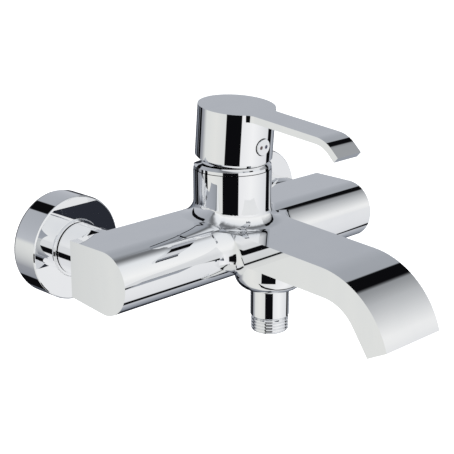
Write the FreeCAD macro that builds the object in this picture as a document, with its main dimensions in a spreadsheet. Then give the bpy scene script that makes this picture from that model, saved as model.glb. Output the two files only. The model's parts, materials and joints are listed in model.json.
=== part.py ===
import FreeCAD, Part
import math
import os
import Sketcher

# A wall mounted single-lever bath mixer with a ribbon spout and a shower outlet.
# Frame: the wall is the plane Y = 0 and the room is on its -Y side, X runs along the wall with the
# hot inlet on -X, and Z is up. The origin is on the wall, midway between the two inlet axes.

SIZES = {
    # Inlets and bar
    "inlet_spacing": 150.0,
    "bar_overhang": 23.9,
    "bar_back": 43.4,
    "bar_front": 87.6,
    "bar_top": 15.3,
    "bar_bottom": 19.5,
    "heel_rise": 2.9,
    "bar_wall": 3.4,
    "core_gap": 25.0,
    "channel_drop": 5.0,
    "channel_radius": 5.5,
    "inlet_boss_radius": 14.0,
    "inlet_boss_depth": 13.6,
    # Turret
    "turret_out": 66.3,
    "turret_wall": 2.7,
    "turret_top": 41.6,
    "foot_fillet": 8.0,
    "side_fillet": 10.0,
    # Spout
    "spout_wall": 3.3,
    "spout_side_wall": 4.2,
    "spout_fall": 3.3,
    "spout_bend_out": 149.2,
    "spout_bend_drop": 41.1,
    "spout_bend_radius": 49.6,
    "spout_tip_angle": 73.0,
    "spout_mouth": 13.8,
    "waterway_stop": 10.0,
    "mouth_angle": 27.3,
    "lip_angle": 55.0,
    "lip_run": 17.5,
    "under_bend_radius": 25.4,
    "under_fall": 2.9,
    # Flow insert in the spout's mouth
    "insert_width": 36.0,
    "insert_thick": 7.2,
    "insert_depth": 8.0,
    "insert_setback": 0.3,
    "insert_seal_thick": 0.7,
    "insert_cell_width": 3.0,
    "insert_cell_height": 2.5,
    "insert_rib": 0.8,
    "insert_columns": 9,
    # Outlet boss, diverter and shower outlet
    "outlet_ahead": 29.7,
    "boss_radius": 20.0,
    "boss_bottom": 22.0,
    "boss_round": 8.5,
    "diverter_drop": 8.0,
    "diverter_boss_wall": 1.6,
    "diverter_boss_end": 25.0,
    "plug_radius": 7.0,
    "plug_far_end": 8.5,
    "plug_shoulder": 13.5,
    "port_radius": 4.0,
    "gland_ledge": 1.4,
    "gland_flange": 3.0,
    "gland_lip": 1.0,
    "spindle_radius": 3.0,
    "knob_radius": 8.5,
    "knob_length": 12.0,
    "knob_hub": 3.5,
    "knob_grip": 6.0,
    "knob_chamfer": 0.8,
    "knob_web": 1.5,
    "knob_screw_radius": 1.5,
    "knob_screw_head": 2.8,
    "screw_slot": 0.8,
    "socket_radius": 9.1,
    "socket_depth": 5.0,
    "seal_groove": 1.2,
    "seal_setback": 1.8,
    "outlet_sleeve_radius": 10.9,
    "outlet_sleeve": 16.0,
    "outlet_relief": 1.9,
    "outlet_relief_radius": 9.6,
    "outlet_bevel": 0.6,
    "outlet_thread_radius": 10.48,
    "outlet_thread": 7.3,
    "outlet_bore_radius": 7.6,
    "outlet_throat_radius": 5.0,
    # Check valve in the shower outlet
    "check_length": 14.0,
    "check_setback": 3.8,
    "check_wall": 1.2,
    "check_seat": 1.5,
    "check_throat": 4.8,
    "check_web": 1.6,
    "check_lift": 3.0,
    "poppet_radius": 5.7,
    "poppet_head": 1.6,
    "poppet_stem": 1.2,
    "spring_radius": 3.0,
    "spring_wire": 0.35,
    "spring_pitch": 1.7,
    # Wall unions, nuts and covers
    "wall_thread_radius": 10.48,
    "wall_thread_length": 20.0,
    "union_offset": 6.0,
    "union_thread_radius": 13.22,
    "union_end": 33.9,
    "union_bore_radius": 8.2,
    "wall_bore_radius": 7.2,
    "union_neck": 12.0,
    "washer_thick": 2.5,
    "washer_inset": 0.8,
    "strainer_thick": 0.5,
    "strainer_hole": 0.9,
    "strainer_inner_circle": 2.9,
    "strainer_outer_circle": 5.9,
    "tail_flange": 2.8,
    "tail_flange_inset": 0.6,
    "tail_neck_radius": 10.6,
    "tail_thread_radius": 10.48,
    "tail_bore_radius": 6.6,
    "tail_key_radius": 8.0,
    "tail_key_depth": 5.0,
    "nut_wall": 1.78,
    "nut_back": 20.4,
    "nut_flat_cut": 0.8,
    "nut_flat_length": 7.5,
    "cover_radius": 29.6,
    "cover_depth": 18.4,
    "cover_wall": 1.4,
    "cover_collar_wall": 3.28,
    "cover_collar": 1.4,
    "cover_seal": 1.0,
    "cover_seal_width": 4.0,
    # Cartridge
    "seat_height": 8.0,
    "cartridge_radius": 17.5,
    "base_thick": 4.9,
    "seal_squash": 1.3,
    "port_share": 0.7,
    "port_angle": 150.0,
    "disc_port": 3.4,
    "pin_circle": 12.6,
    "pin_angle": 30.0,
    "base_pin_radius": 2.0,
    "base_pin_length": 4.0,
    "housing_wall": 1.4,
    "disc_thick": 4.0,
    "carrier_play": 3.7,
    "disc_rim": 0.4,
    "carrier_thick": 4.6,
    "shoulder_height": 33.0,
    "shoulder_thick": 3.0,
    "neck_radius": 12.6,
    "neck_height": 38.0,
    "swivel_radius": 11.4,
    "swivel_flange": 2.4,
    "pivot_height": 39.3,
    "swivel_crown": 4.0,
    "stem_pin_radius": 1.5,
    "stem_width": 6.4,
    "stem_head": 7.6,
    "stem_arm": 14.6,
    "stem_ball_radius": 3.1,
    "stem_top": 27.4,
    "nut_ledge": 2.0,
    "nut_notch": 2.0,
    "nut_height": 8.4,
    "nut_bore": 13.2,
    # Collar and handle, heights above the pivot along the handle's own axis
    "collar_inset": 0.3,
    "collar_straight": 1.7,
    "collar_chamfer": 1.5,
    "collar_height": 3.3,
    "collar_web": 1.5,
    "collar_ring": 4.4,
    "handle_tilt": 4.9,
    "lift_angle": 17.0,
    "handle_inset": 0.4,
    "handle_bottom": 8.1,
    "handle_top": 38.5,
    "handle_chamfer": 1.6,
    "handle_wall": 3.2,
    "handle_roof": 3.0,
    "hub_radius": 7.6,
    "hub_bottom": 13.5,
    "lever_width": 18.5,
    "lever_thick": 3.8,
    "lever_straight": 66.5,
    "lever_bend_radius": 18.0,
    "lever_bend_angle": 38.0,
    "lever_tip_run": 5.8,
    "lever_fillet": 5.5,
    "index_height": 19.6,
    "index_radius": 4.6,
    "index_proud": 0.8,
    "index_length": 4.6,
    "mark_radius": 1.05,
    "mark_apart": 1.9,
    "mark_depth": 0.5,
    "mark_thick": 0.4,
    "grub_radius": 2.5,
    "grub_length": 6.0,
    "grub_key_radius": 1.45,
    # Fits and clearances
    "thread_fit": 0.05,
    "running_fit": 0.03,
    "slip_fit": 0.1,
    "working_gap": 0.5,
    "turning_gap": 0.3,
}


class Size:
    """A number that keeps the spreadsheet expression it comes from."""

    def __init__(self, number, text=None):
        self.number = float(number)
        self.text = "%.9g" % self.number if text is None else text

    def __add__(self, other):
        other = size(other)
        return Size(self.number + other.number, "(%s + %s)" % (self.text, other.text))

    def __sub__(self, other):
        other = size(other)
        return Size(self.number - other.number, "(%s - %s)" % (self.text, other.text))

    def __mul__(self, other):
        other = size(other)
        return Size(self.number * other.number, "(%s * %s)" % (self.text, other.text))

    def __truediv__(self, other):
        other = size(other)
        return Size(self.number / other.number, "(%s / %s)" % (self.text, other.text))

    def __neg__(self):
        return Size(-self.number, "(0 - %s)" % self.text)

    def __radd__(self, other):
        return size(other) + self

    def __rsub__(self, other):
        return size(other) - self

    def __rmul__(self, other):
        return size(other) * self


def size(value):
    return value if isinstance(value, Size) else Size(value)


def sine(angle):
    angle = size(angle)
    return Size(math.sin(math.radians(angle.number)), "sin(%s)" % angle.text)


def cosine(angle):
    angle = size(angle)
    return Size(math.cos(math.radians(angle.number)), "cos(%s)" % angle.text)


def tangent(angle):
    return sine(angle) / cosine(angle)


doc = FreeCAD.newDocument("bath_mixer")
sheet = doc.addObject("Spreadsheet::Sheet", "Sizes")
for row, (alias, number) in enumerate(SIZES.items(), start=1):
    sheet.set("A%d" % row, alias)
    sheet.set("B%d" % row, repr(number))
    sheet.setAlias("B%d" % row, alias)
doc.recompute()


class Named:
    """Every cell of the sheet by its alias."""

    def __getattr__(self, alias):
        return Size(SIZES[alias], "Sizes." + alias)


s = Named()

TURNS = {
    "up": FreeCAD.Rotation(),
    "down": FreeCAD.Rotation(FreeCAD.Vector(1, 0, 0), 180),
    "room": FreeCAD.Rotation(FreeCAD.Vector(1, 0, 0), 90),
    "wall": FreeCAD.Rotation(FreeCAD.Vector(1, 0, 0), -90),
    "right": FreeCAD.Rotation(FreeCAD.Vector(0, 1, 0), 90),
    "left": FreeCAD.Rotation(FreeCAD.Vector(0, 1, 0), -90),
}

TOLERANCE = 0.02

sub_parts = []


def bind(thing, path, value):
    thing.setExpression(path, size(value).text)


def place(thing, at, turn="up", tilt=None):
    """Put a feature or a sub-part at a point, its own Z turned a named way or tilted about X."""
    rotation = TURNS[turn]
    if tilt is not None:
        rotation = FreeCAD.Rotation(FreeCAD.Vector(1, 0, 0), size(tilt).number)
    numbers = [size(value).number for value in at]
    thing.Placement = FreeCAD.Placement(FreeCAD.Vector(*numbers), rotation)
    for axis, value in zip("xyz", at):
        bind(thing, "Placement.Base." + axis, value)
    if tilt is not None:
        bind(thing, "Placement.Rotation.Angle", tilt)


def new_body(label, at=(0, 0, 0), turn="up", tilt=None):
    body = doc.addObject("PartDesign::Body", label)
    body.Label = label
    place(body, at, turn, tilt)
    sub_parts.append(body)
    return body


def origin_part(body, role):
    return next(part for part in body.Origin.OriginFeatures if part.Role == role)


def solid(body, kind, name, at, turn="up", tilt=None, **sizes):
    """Add a PartDesign primitive, such as AdditiveCylinder or SubtractiveBox, with its sizes bound."""
    feature = body.newObject("PartDesign::" + kind, name)
    for key, value in sizes.items():
        if isinstance(value, int) and key == "Polygon":
            setattr(feature, key, value)
        else:
            setattr(feature, key, size(value).number)
            bind(feature, key, value)
    place(feature, at, turn, tilt)
    return feature


def drill(body, name, radius, depth, at, turn="up"):
    return solid(body, "SubtractiveCylinder", name, at, turn, Radius=radius, Height=depth)


def arc_centre(start, end, radius, side):
    """Centre of the arc of a radius between two points, on the left (1) or right (-1) of the way."""
    (ax, ay), (bx, by) = start, end
    half = math.hypot(bx - ax, by - ay) / 2
    rise = math.sqrt(max(radius * radius - half * half, 0.0)) * side
    return ((ax + bx) / 2 - (by - ay) / (2 * half) * rise, (ay + by) / 2 + (bx - ax) / (2 * half) * rise)


def outline(body, name, plane, corners):
    """Sketch a closed outline. A corner is (u, v), or (u, v, radius, side) where an arc leads to the next."""
    sketch = body.newObject("Sketcher::SketchObject", name)
    sketch.AttachmentSupport = [(origin_part(body, plane), "")]
    sketch.MapMode = "FlatFace"
    points = [(size(corner[0]), size(corner[1])) for corner in corners]
    starts = []
    ends = []
    for index, corner in enumerate(corners):
        here = tuple(value.number for value in points[index])
        there = tuple(value.number for value in points[(index + 1) % len(points)])
        if len(corner) == 2:
            line = Part.LineSegment(FreeCAD.Vector(*here, 0), FreeCAD.Vector(*there, 0))
            starts.append((sketch.addGeometry(line, False), 1))
            ends.append((starts[-1][0], 2))
            continue
        radius, side = size(corner[2]), corner[3]
        centre = arc_centre(here, there, radius.number, side)
        first, last = (here, there) if side > 0 else (there, here)
        angles = [math.atan2(point[1] - centre[1], point[0] - centre[0]) for point in (first, last)]
        if angles[1] < angles[0]:
            angles[1] += 2 * math.pi
        circle = Part.Circle(FreeCAD.Vector(*centre, 0), FreeCAD.Vector(0, 0, 1), radius.number)
        number = sketch.addGeometry(Part.ArcOfCircle(circle, *angles), False)
        starts.append((number, 1 if side > 0 else 2))
        ends.append((number, 2 if side > 0 else 1))
        dimension = sketch.addConstraint(Sketcher.Constraint("Radius", number, radius.number))
        bind(sketch, "Constraints[%d]" % dimension, radius)
    for index, (number, end) in enumerate(starts):
        sketch.addConstraint(Sketcher.Constraint("Coincident", *ends[index - 1], number, end))
        for kind, axis, value in (("DistanceX", -2, points[index][0]), ("DistanceY", -1, points[index][1])):
            if abs(value.number) < 1e-9:
                sketch.addConstraint(Sketcher.Constraint("PointOnObject", number, end, axis))
                continue
            dimension = sketch.addConstraint(Sketcher.Constraint(kind, -1, 1, number, end, value.number))
            bind(sketch, "Constraints[%d]" % dimension, value)
    return sketch


def turned(label, corners, at=(0, 0, 0), turn="up"):
    """A turned piece: an outline of (radius, height) corners revolved about the piece's own Z."""
    body = new_body(label, at, turn)
    revolution = body.newObject("PartDesign::Revolution", label + "_turning")
    revolution.Profile = outline(body, label + "_section", "XZ_Plane", corners)
    revolution.ReferenceAxis = (revolution.Profile[0], ["V_Axis"])
    revolution.Angle = 360
    return body


def across(body, name, corners, width, kind="Pad"):
    """Pad or pocket an outline of (y, z) corners evenly to both sides of the YZ plane."""
    feature = body.newObject("PartDesign::" + kind, name)
    feature.Profile = outline(body, name + "_outline", "YZ_Plane", corners)
    feature.Midplane = True
    feature.Length = size(width).number
    bind(feature, "Length", width)
    return feature


def ring(label, outer, inner, low, high, at=(0, 0, 0), turn="up"):
    return turned(label, [(inner, low), (outer, low), (outer, high), (inner, high)], at, turn)


def named_edges(feature, wanted):
    names = []
    for index, edge in enumerate(feature.Shape.Edges, start=1):
        span = edge.LastParameter - edge.FirstParameter
        points = [edge.valueAt(edge.FirstParameter + span * share) for share in (0.1, 0.5, 0.9)]
        if all(wanted(point) for point in points):
            names.append("Edge%d" % index)
    return names


def dress(body, kind, name, wanted, amount):
    """Fillet or chamfer the edges of the body's last feature whose points are all wanted."""
    doc.recompute()
    base = body.Tip
    feature = body.newObject("PartDesign::" + kind, name)
    feature.Base = (base, named_edges(base, wanted))
    key = "Radius" if kind == "Fillet" else "Size"
    setattr(feature, key, size(amount).number)
    bind(feature, key, amount)
    return feature


def combine(body, name, kind, tool):
    """Fuse another body into this one, or keep only what the two share."""
    feature = body.newObject("PartDesign::Boolean", name)
    feature.Type = kind
    feature.setObjects([tool])
    body.Tip = feature
    return feature


def pattern(body, kind, name, originals, **settings):
    feature = body.newObject("PartDesign::" + kind, name)
    feature.Originals = originals
    if kind == "PolarPattern":
        feature.Axis = (origin_part(body, "Z_Axis"), [""])
        feature.Angle = 360
    else:
        feature.Direction = (origin_part(body, "X_Axis"), [""])
    for key, value in settings.items():
        if isinstance(value, Size):
            bind(feature, key, value)
        setattr(feature, key, int(size(value).number) if key == "Occurrences" else size(value).number)
    body.Tip = feature
    return feature


def near(value, target):
    return abs(value - size(target).number) < TOLERANCE


def tubes(label, rings, turn):
    """One node of separate rings, each (x, y, z, outer, inner, height)."""
    cuts = []
    for index, (x, y, z, outer, inner, height) in enumerate(rings):
        walls = []
        for word, radius in (("outer", outer), ("inner", inner)):
            wall = doc.addObject("Part::Cylinder", "%s_%s_%d" % (label, word, index))
            bind(wall, "Radius", radius)
            bind(wall, "Height", height)
            place(wall, (x, y, z), turn)
            walls.append(wall)
        cut = doc.addObject("Part::Cut", "%s_ring_%d" % (label, index))
        cut.Base, cut.Tool = walls
        cuts.append(cut)
    group = doc.addObject("Part::Compound", label)
    group.Label = label
    group.Links = cuts
    sub_parts.append(group)
    return group


# Places that several pieces share

inlet_x = s.inlet_spacing / 2
bar_length = s.inlet_spacing + 2 * s.bar_overhang
axis_y = -s.turret_out
outlet_y = axis_y - s.outlet_ahead
pivot = (0, axis_y, s.pivot_height)
tail_face = s.union_end + s.washer_thick
nut_lip = tail_face + s.tail_flange
outlet_top = -s.boss_bottom
thread_top = outlet_top - s.outlet_sleeve - s.outlet_relief
outlet_end = thread_top - s.outlet_thread
check_bottom = outlet_end + s.check_setback
check_top = check_bottom + s.check_length
base_top = s.seat_height + s.base_thick
disc_top = base_top + s.disc_thick
ball_shift = s.stem_arm * sine(s.handle_tilt)
nut_seat = s.shoulder_height
collar_low = s.turret_top + s.turning_gap
nut_thread_radius = s.cartridge_radius + s.nut_ledge
turret_radius = nut_thread_radius + s.turret_wall
spout_width = 2 * turret_radius
collar_radius = turret_radius - s.collar_inset
handle_radius = turret_radius - s.handle_inset
nut_radius = s.union_thread_radius + s.nut_wall
gland_thread_radius = s.plug_radius + s.gland_ledge
gland_flange_radius = gland_thread_radius + s.gland_lip
cartridge_inner = s.cartridge_radius - s.housing_wall
carrier_radius = cartridge_inner - s.carrier_play
moving_disc_radius = carrier_radius - s.disc_rim
port_circle = moving_disc_radius * s.port_share
knob_start = s.diverter_boss_end + s.gland_flange + s.working_gap


def on_bend(centre_out, centre_drop, radius, angle):
    """The point of a bend, seen from the side, that faces an angle forward of straight up."""
    return (-centre_out - radius * sine(angle), -centre_drop + radius * cosine(angle))


def spout_outline(inset, root, tip_angle, lip_start):
    """The ribbon's side view, inset by a wall, from a root distance to a tip angle and a lip distance."""
    bend = (s.spout_bend_out, s.spout_bend_drop, s.spout_bend_radius - inset)
    top_start = on_bend(*bend, s.spout_fall)
    top_end = on_bend(*bend, tip_angle)
    front = on_bend(s.spout_bend_out, s.spout_bend_drop, s.spout_bend_radius, s.spout_tip_angle)
    rear = (
        front[0] + s.spout_mouth * cosine(s.mouth_angle),
        front[1] - s.spout_mouth * sine(s.mouth_angle),
    )
    inward = (-inset * sine(s.lip_angle), inset * cosine(s.lip_angle))
    lip_low = tuple(
        rear[i] + lip_start * (cosine, sine)[i](s.lip_angle) + inward[i] for i in range(2)
    )
    lip_high = tuple(
        rear[i] + s.lip_run * (cosine, sine)[i](s.lip_angle) + inward[i] for i in range(2)
    )
    under = s.under_bend_radius + inset
    under_y = lip_high[0] + under * (sine(s.lip_angle) - sine(s.under_fall))
    under_z = lip_high[1] - under * (cosine(s.lip_angle) - cosine(s.under_fall))
    return [
        (-root, top_start[1] + (-root - top_start[0]) * tangent(s.spout_fall)),
        (*top_start, s.spout_bend_radius - inset, 1),
        top_end,
        lip_low,
        (*lip_high, under, -1),
        (under_y, under_z),
        (-root, under_z + (-root - under_y) * tangent(s.under_fall)),
    ]


def bar_outline(inset):
    """The bar's D section: flat back and top, round nose, and an underside that rises to the back."""
    top, bottom = s.bar_top - inset, -s.bar_bottom + inset
    back, front = -s.bar_back - inset, -s.bar_front + inset
    nose = (top - bottom) / 2
    return [
        (back, top),
        (front + nose, top, nose, 1),
        (front, (top + bottom) / 2, nose, 1),
        (front + nose, bottom),
        (back, bottom + s.heel_rise),
    ]


def mouth_place():
    """The middle of the spout's end face."""
    front = on_bend(s.spout_bend_out, s.spout_bend_drop, s.spout_bend_radius, s.spout_tip_angle)
    half = s.spout_mouth / 2
    return (0, front[0] + half * cosine(s.mouth_angle), front[1] - half * sine(s.mouth_angle))


def port_place(angle):
    """A cartridge port's place on the seat, at an angle from the +X side."""
    return (port_circle * cosine(angle), port_circle * sine(angle))


PORTS = {"cold": 180 - s.port_angle, "hot": s.port_angle, "mixed": size(270)}


def make_front_foot():
    """The front of the turret's foot, rounded onto the spout's sloping top and clipped to the spout."""
    foot = doc.addObject("PartDesign::Body", "front_foot")
    start = on_bend(s.spout_bend_out, s.spout_bend_drop, s.spout_bend_radius, s.spout_fall)
    ends = (axis_y + 2 * turret_radius, axis_y - 2 * turret_radius)
    tops = [(y, start[1] + (y - start[0]) * tangent(s.spout_fall)) for y in ends]
    across(foot, "slope", [*tops, (ends[1], 0), (ends[0], 0)], 2 * spout_width)
    solid(foot, "AdditiveCylinder", "turret_blank", (0, axis_y, 0), Radius=turret_radius, Height=s.turret_top)

    def slope_edge(point):
        return near(math.hypot(point.x, point.y - axis_y.number), turret_radius) and (
            0 < point.z < s.turret_top.number - TOLERANCE)

    dress(foot, "Fillet", "slope_fillet", slope_edge, s.foot_fillet)
    clip = doc.addObject("PartDesign::Body", "foot_clip")
    solid(clip, "AdditiveBox", "spout_front", (-turret_radius, ends[1], 0), Length=spout_width,
          Width=2 * turret_radius, Height=s.turret_top)
    combine(foot, "foot_clipped", "Common", clip)
    return foot


def make_outlet_boss():
    """The shallow bowl below the spout that carries the outlet."""
    boss = doc.addObject("PartDesign::Body", "boss_blank")
    solid(boss, "AdditiveCylinder", "boss_disc", (0, outlet_y, outlet_top), Radius=s.boss_radius,
          Height=s.boss_bottom)

    def rim(point):
        return near(point.z, outlet_top)

    dress(boss, "Fillet", "boss_rim", rim, s.boss_round)
    return boss


def make_casting():
    front_foot = make_front_foot()
    outlet_boss = make_outlet_boss()
    body = new_body("body_casting")
    across(body, "bar", bar_outline(size(0)), bar_length)
    across(body, "spout", spout_outline(size(0), s.turret_out, s.spout_tip_angle, size(0)), spout_width)
    solid(body, "AdditiveCylinder", "turret", (0, axis_y, 0), Radius=turret_radius, Height=s.turret_top)
    nose = (s.bar_top + s.bar_bottom) / 2
    nose_y, nose_z = -s.bar_front + nose, (s.bar_top - s.bar_bottom) / 2

    def turret_foot(point):
        far = math.hypot(point.x, point.y - axis_y.number)
        on_arms = abs(point.x) > turret_radius.number / 2 or point.y > axis_y.number
        return near(far, turret_radius) and point.z < s.bar_top.number + TOLERANCE and on_arms

    def spout_root(point):
        far = math.hypot(point.y - nose_y.number, point.z - nose_z.number)
        return near(abs(point.x), spout_width / 2) and near(far, nose)

    dress(body, "Fillet", "spout_root", spout_root, s.side_fillet)
    dress(body, "Fillet", "turret_foot", turret_foot, s.foot_fillet)
    combine(body, "foot_joined", "Fuse", front_foot)
    solid(body, "SubtractiveBox", "back_trim", (-2 * turret_radius, -s.bar_back, -s.bar_bottom),
          Length=4 * turret_radius, Width=s.bar_back, Height=s.bar_bottom + s.turret_top)
    combine(body, "outlet_boss", "Fuse", outlet_boss)
    solid(body, "AdditiveCylinder", "diverter_boss", (0, outlet_y, -s.diverter_drop), "right",
          Radius=gland_thread_radius + s.diverter_boss_wall, Height=s.diverter_boss_end)
    drill(body, "gland_face", gland_flange_radius + s.working_gap, s.side_fillet + s.knob_length,
          (s.diverter_boss_end, outlet_y, -s.diverter_drop), "right")
    # Hollow arms with an inlet boss in each
    core_length = bar_length / 2 - s.bar_wall - s.core_gap
    for side, word in ((-1, "hot"), (1, "cold")):
        core = body.newObject("PartDesign::Pocket", word + "_core")
        core.Profile = outline(body, word + "_core_outline", "YZ_Plane", bar_outline(s.bar_wall))
        sketch = core.Profile[0]
        start = side * s.core_gap
        sketch.AttachmentOffset = FreeCAD.Placement(FreeCAD.Vector(0, 0, start.number), FreeCAD.Rotation())
        bind(sketch, "AttachmentOffset.Base.z", start)
        core.Reversed = side > 0
        core.Length = core_length.number
        bind(core, "Length", core_length)
        boss_base = (side * inlet_x, -s.bar_back, 0)
        solid(body, "AdditiveCylinder", word + "_inlet_boss", boss_base, "room",
              Radius=s.inlet_boss_radius, Height=s.inlet_boss_depth)
        drill(body, word + "_inlet", s.tail_thread_radius + s.thread_fit,
              s.inlet_boss_depth + s.bar_wall, boss_base, "room")
        x, y = port_place(PORTS[word])
        drill(body, word + "_port", s.disc_port, s.seat_height + s.channel_drop,
              (x, axis_y + y, -s.channel_drop))
        drill(body, word + "_channel", s.channel_radius, s.core_gap + s.bar_wall + x * -side,
              (x, axis_y + y, -s.channel_drop), "right" if side > 0 else "left")
    # Cartridge seat, and the mixed water's way to the diverter
    drill(body, "cartridge_bore", s.cartridge_radius + s.slip_fit, s.turret_top, (0, axis_y, s.seat_height))
    drill(body, "nut_thread", nut_thread_radius + s.thread_fit, s.turret_top, (0, axis_y, nut_seat))
    for side in (-1, 1):
        drill(body, "locating_hole_%d" % (side + 2), s.base_pin_radius + s.slip_fit,
              s.base_pin_length + s.slip_fit,
              (side * s.pin_circle * cosine(s.pin_angle), axis_y - s.pin_circle * sine(s.pin_angle),
               s.seat_height - s.base_pin_length - s.slip_fit))
    mixed_y = axis_y + port_place(PORTS["mixed"])[1]
    drill(body, "mixed_port", s.disc_port, s.seat_height + s.diverter_drop, (0, mixed_y, -s.diverter_drop))
    drill(body, "supply", s.disc_port, mixed_y - outlet_y, (0, mixed_y, -s.diverter_drop), "room")
    # Diverter bore and its two outlets
    drill(body, "diverter_bore", s.plug_radius, s.plug_far_end + s.working_gap + s.diverter_boss_end,
          (-s.plug_far_end - s.working_gap, outlet_y, -s.diverter_drop), "right")
    drill(body, "gland_thread", gland_thread_radius + s.thread_fit, s.diverter_boss_end,
          (s.plug_shoulder + s.working_gap, outlet_y, -s.diverter_drop), "right")
    drill(body, "spout_port", s.port_radius, s.diverter_drop + s.spout_wall,
          (0, outlet_y, -s.diverter_drop))
    drill(body, "shower_port", s.port_radius, s.boss_bottom - s.diverter_drop,
          (0, outlet_y, outlet_top))
    drill(body, "outlet_socket", s.socket_radius, s.socket_depth, (0, outlet_y, outlet_top))
    # Waterway and mouth
    waterway = spout_outline(s.spout_wall, -outlet_y - s.port_radius,
                             s.spout_tip_angle - s.waterway_stop, s.insert_depth)
    across(body, "waterway", waterway, spout_width - 2 * s.spout_side_wall, "Pocket")
    width = s.insert_width + 2 * s.slip_fit
    height = s.insert_thick + 2 * s.slip_fit
    x, y, z = mouth_place()
    solid(body, "SubtractiveBox", "mouth", (-width / 2, y - height / 2 * cosine(s.mouth_angle),
          z + height / 2 * sine(s.mouth_angle)), tilt=-s.mouth_angle, Length=width, Width=height,
          Height=s.insert_setback + s.insert_depth + s.insert_seal_thick)
    return body


def make_wall_side(side, word):
    """One inlet's union, nut, washer, strainer, tail and cover; heights run from the wall into the room."""
    at = (side * inlet_x, 0, 0)
    union = turned("eccentric_union_" + word, [
        (0, size(0)),
        (s.union_thread_radius, 0),
        (s.union_thread_radius, s.union_end),
        (0, s.union_end),
    ], at, "room")
    solid(union, "AdditiveCylinder", "union_heel", (0, -s.union_offset, 0),
          Radius=s.union_thread_radius - s.cover_wall, Height=s.union_neck)
    solid(union, "AdditiveCylinder", "wall_thread", (0, -s.union_offset, -s.wall_thread_length),
          Radius=s.wall_thread_radius, Height=s.wall_thread_length)
    drill(union, "room_bore", s.union_bore_radius, s.union_end, (0, 0, s.union_neck / 2))
    drill(union, "wall_bore", s.wall_bore_radius, s.wall_thread_length + s.union_neck,
          (0, -s.union_offset, -s.wall_thread_length))

    nut = turned("union_nut_" + word, [
        (s.union_thread_radius + s.thread_fit, s.nut_back),
        (nut_radius, s.nut_back),
        (nut_radius, s.bar_back - s.working_gap),
        (s.tail_neck_radius + s.working_gap, s.bar_back - s.working_gap),
        (s.tail_neck_radius + s.working_gap, nut_lip),
        (s.union_thread_radius + s.thread_fit, nut_lip),
    ], at, "room")
    flat = solid(nut, "SubtractiveBox", "spanner_flat",
                 (nut_radius - s.nut_flat_cut, -nut_radius, s.bar_back - s.working_gap - s.nut_flat_length),
                 Length=nut_radius, Width=2 * nut_radius, Height=s.nut_flat_length)
    pattern(nut, "PolarPattern", "spanner_flats", [flat], Occurrences=6)

    washer_radius = s.union_thread_radius - s.washer_inset
    ring("inlet_washer_" + word, washer_radius, s.union_bore_radius, s.union_end, tail_face, at, "room")

    middle = (s.union_end + tail_face) / 2
    strainer = turned("inlet_strainer_" + word, [
        (0, middle),
        (s.union_bore_radius - s.slip_fit, middle),
        (s.union_bore_radius - s.slip_fit, middle + s.strainer_thick),
        (0, middle + s.strainer_thick),
    ], at, "room")
    for count, circle in ((6, s.strainer_inner_circle), (12, s.strainer_outer_circle)):
        hole = drill(strainer, "hole_%d" % count, s.strainer_hole, 3 * s.strainer_thick,
                     (circle, 0, middle - s.strainer_thick))
        pattern(strainer, "PolarPattern", "holes_%d" % count, [hole], Occurrences=count)

    flange_radius = s.union_thread_radius - s.tail_flange_inset
    tail = turned("inlet_tail_" + word, [
        (s.tail_bore_radius, tail_face),
        (flange_radius, tail_face),
        (flange_radius, nut_lip),
        (s.tail_neck_radius, nut_lip),
        (s.tail_neck_radius, s.bar_back),
        (s.tail_thread_radius, s.bar_back),
        (s.tail_thread_radius, s.bar_back + s.inlet_boss_depth - s.working_gap),
        (s.tail_bore_radius, s.bar_back + s.inlet_boss_depth - s.working_gap),
    ], at, "room")
    solid(tail, "SubtractivePrism", "key_socket", (0, 0, tail_face), Polygon=6,
          Circumradius=s.tail_key_radius, Height=s.tail_key_depth)

    collar_inner = s.union_thread_radius + s.slip_fit
    collar_outer = s.union_thread_radius + s.cover_collar_wall
    face = s.cover_depth
    bevel = s.cover_wall / 2
    turned("escutcheon_" + word, [
        (s.cover_radius - s.cover_wall, s.cover_seal),
        (s.cover_radius, s.cover_seal),
        (s.cover_radius, face - bevel),
        (s.cover_radius - bevel, face),
        (collar_outer, face),
        (collar_outer - bevel / 2, face + s.cover_collar),
        (collar_inner, face + s.cover_collar),
        (collar_inner, face - s.cover_wall),
        (s.cover_radius - s.cover_wall, face - s.cover_wall),
    ], at, "room")
    ring("escutcheon_seal_" + word, s.cover_radius - bevel / 2, s.cover_radius - s.cover_seal_width,
         size(0), s.cover_seal, at, "room")


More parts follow.
